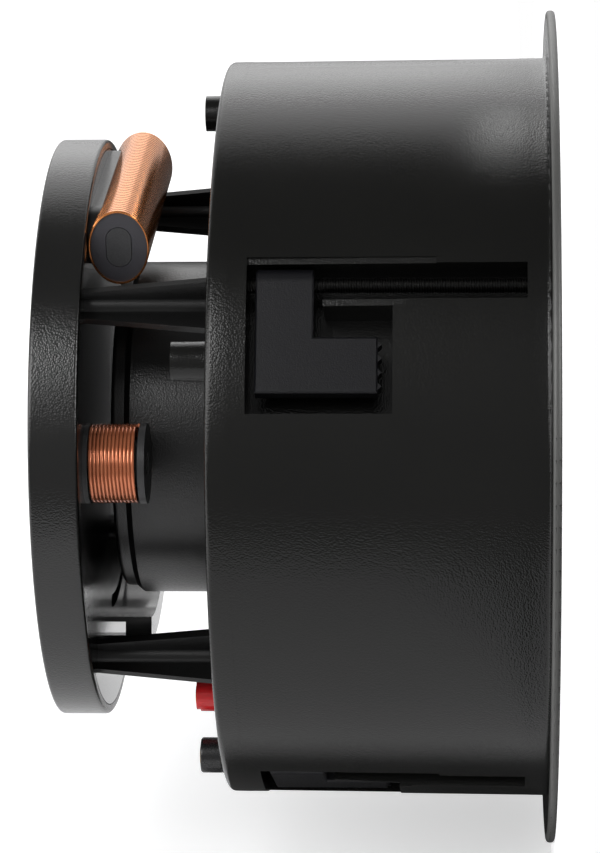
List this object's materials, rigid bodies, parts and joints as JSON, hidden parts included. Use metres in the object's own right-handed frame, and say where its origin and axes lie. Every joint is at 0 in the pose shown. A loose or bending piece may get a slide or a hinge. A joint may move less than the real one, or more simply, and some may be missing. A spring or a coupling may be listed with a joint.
{
  "type": "in-ceiling speaker",
  "caption": "Round in-ceiling loudspeaker with a black drum, swing-out clamps in side pockets, a crossover disc on ribbed pillars, copper coils and cable posts.",
  "frame": {"origin": "centre of the front rim's face, on the speaker's axis", "axes": "+Z along the speaker's axis towards the crossover at its rear, which is up in a ceiling"},
  "size_m": [0.28, 0.28, 0.1659],
  "materials": {
    "housing_black": "moulded, fine leather grain",
    "tray_black": "moulded, fine leather grain",
    "pillar_black": "satin moulded",
    "boot_black": "smooth satin",
    "clamp_black": "fine spark-eroded texture",
    "screw_black": "black zinc",
    "post_black": "smooth moulded",
    "post_red": "clear red moulded",
    "post_brass": "gold-plated",
    "copper": "enamelled copper wire",
    "choke_grey": "fine texture",
    "bobbin_black": "satin moulded",
    "board_green": "solder mask",
    "basket_black": "black powder coat",
    "steel": "zinc plated",
    "ferrite": "ground ferrite",
    "surround_rubber": "soft satin",
    "gasket_foam": "closed-cell foam",
    "trim_black": "satin moulded",
    "cone_pulp": "pressed fibre",
    "spider_cloth": "resin-dipped cloth",
    "former_film": "amber film",
    "dome_silk": "coated silk"
  },
  "bodies": {
    "speaker": {"housing": "housing_black", "crossover_tray": "tray_black", "crossover_cover": "tray_black", "pillar_1": "pillar_black", "pillar_2": "pillar_black", "pillar_3": "pillar_black", "pillar_4": "pillar_black", "magnet_boot": "boot_black", "driver_screws": "screw_black", "tray_screws": "screw_black", "post_bushes": "post_black", "post_studs": "post_brass", "choke_winding": "copper", "coil_winding": "copper", "choke_former": "choke_grey", "choke_core": "choke_grey", "coil_bobbin": "bobbin_black", "choke_cradle": "bobbin_black", "crossover_board": "board_green", "basket": "basket_black", "top_plate": "steel", "pole_yoke": "steel", "tweeter_post": "steel", "magnet_ring": "ferrite", "surround": "surround_rubber", "gasket": "gasket_foam", "trim_ring": "trim_black", "tweeter_body": "trim_black", "spider": "spider_cloth", "tweeter_dome": "dome_silk"},
    "cone_assembly": {"cone": "cone_pulp", "voice_coil_former": "former_film", "voice_coil": "copper"},
    "red_cap": {"red_cap": "post_red"},
    "black_cap": {"black_cap": "post_black"},
    "dogleg_1": {"dogleg_1": "clamp_black"},
    "clamp_screw_1": {"clamp_screw_1": "screw_black"},
    "dogleg_2": {"dogleg_2": "clamp_black"},
    "clamp_screw_2": {"clamp_screw_2": "screw_black"},
    "dogleg_3": {"dogleg_3": "clamp_black"},
    "clamp_screw_3": {"clamp_screw_3": "screw_black"},
    "dogleg_4": {"dogleg_4": "clamp_black"},
    "clamp_screw_4": {"clamp_screw_4": "screw_black"}
  },
  "joints": [
    {"name": "cone_travel", "type": "slide", "parent": "speaker", "child": "cone_assembly", "axis": [0, 0, 1], "range_m": [-0.0025, 0.0025], "stiffness_N_per_m": 2000, "deforming": ["surround", "spider"]},
    {"name": "dogleg_1_swing", "type": "hinge", "parent": "speaker", "child": "dogleg_1", "pos_m": [0.0432, -0.10912, 0.08], "axis": [0, 0, 1], "range_deg": [0, 90]},
    {"name": "clamp_screw_1_turn", "type": "hinge", "parent": "speaker", "child": "clamp_screw_1", "pos_m": [0.0432, -0.10912, 0.08], "axis": [0, 0, 1], "continuous": true},
    {"name": "dogleg_2_swing", "type": "hinge", "parent": "speaker", "child": "dogleg_2", "pos_m": [0.10912, 0.0432, 0.08], "axis": [0, 0, 1], "range_deg": [0, 90]},
    {"name": "clamp_screw_2_turn", "type": "hinge", "parent": "speaker", "child": "clamp_screw_2", "pos_m": [0.10912, 0.0432, 0.08], "axis": [0, 0, 1], "continuous": true},
    {"name": "dogleg_3_swing", "type": "hinge", "parent": "speaker", "child": "dogleg_3", "pos_m": [-0.0432, 0.10912, 0.08], "axis": [0, 0, 1], "range_deg": [0, 90]},
    {"name": "clamp_screw_3_turn", "type": "hinge", "parent": "speaker", "child": "clamp_screw_3", "pos_m": [-0.0432, 0.10912, 0.08], "axis": [0, 0, 1], "continuous": true},
    {"name": "dogleg_4_swing", "type": "hinge", "parent": "speaker", "child": "dogleg_4", "pos_m": [-0.10912, -0.0432, 0.08], "axis": [0, 0, 1], "range_deg": [0, 90]},
    {"name": "clamp_screw_4_turn", "type": "hinge", "parent": "speaker", "child": "clamp_screw_4", "pos_m": [-0.10912, -0.0432, 0.08], "axis": [0, 0, 1], "continuous": true},
    {"name": "red_cap_turn", "type": "hinge", "parent": "speaker", "child": "red_cap", "pos_m": [-0.0896, -0.023, 0.115], "axis": [0, 0, 1], "continuous": true},
    {"name": "black_cap_turn", "type": "hinge", "parent": "speaker", "child": "black_cap", "pos_m": [-0.1097, -0.023, 0.115], "axis": [0, 0, 1], "continuous": true}
  ]
}
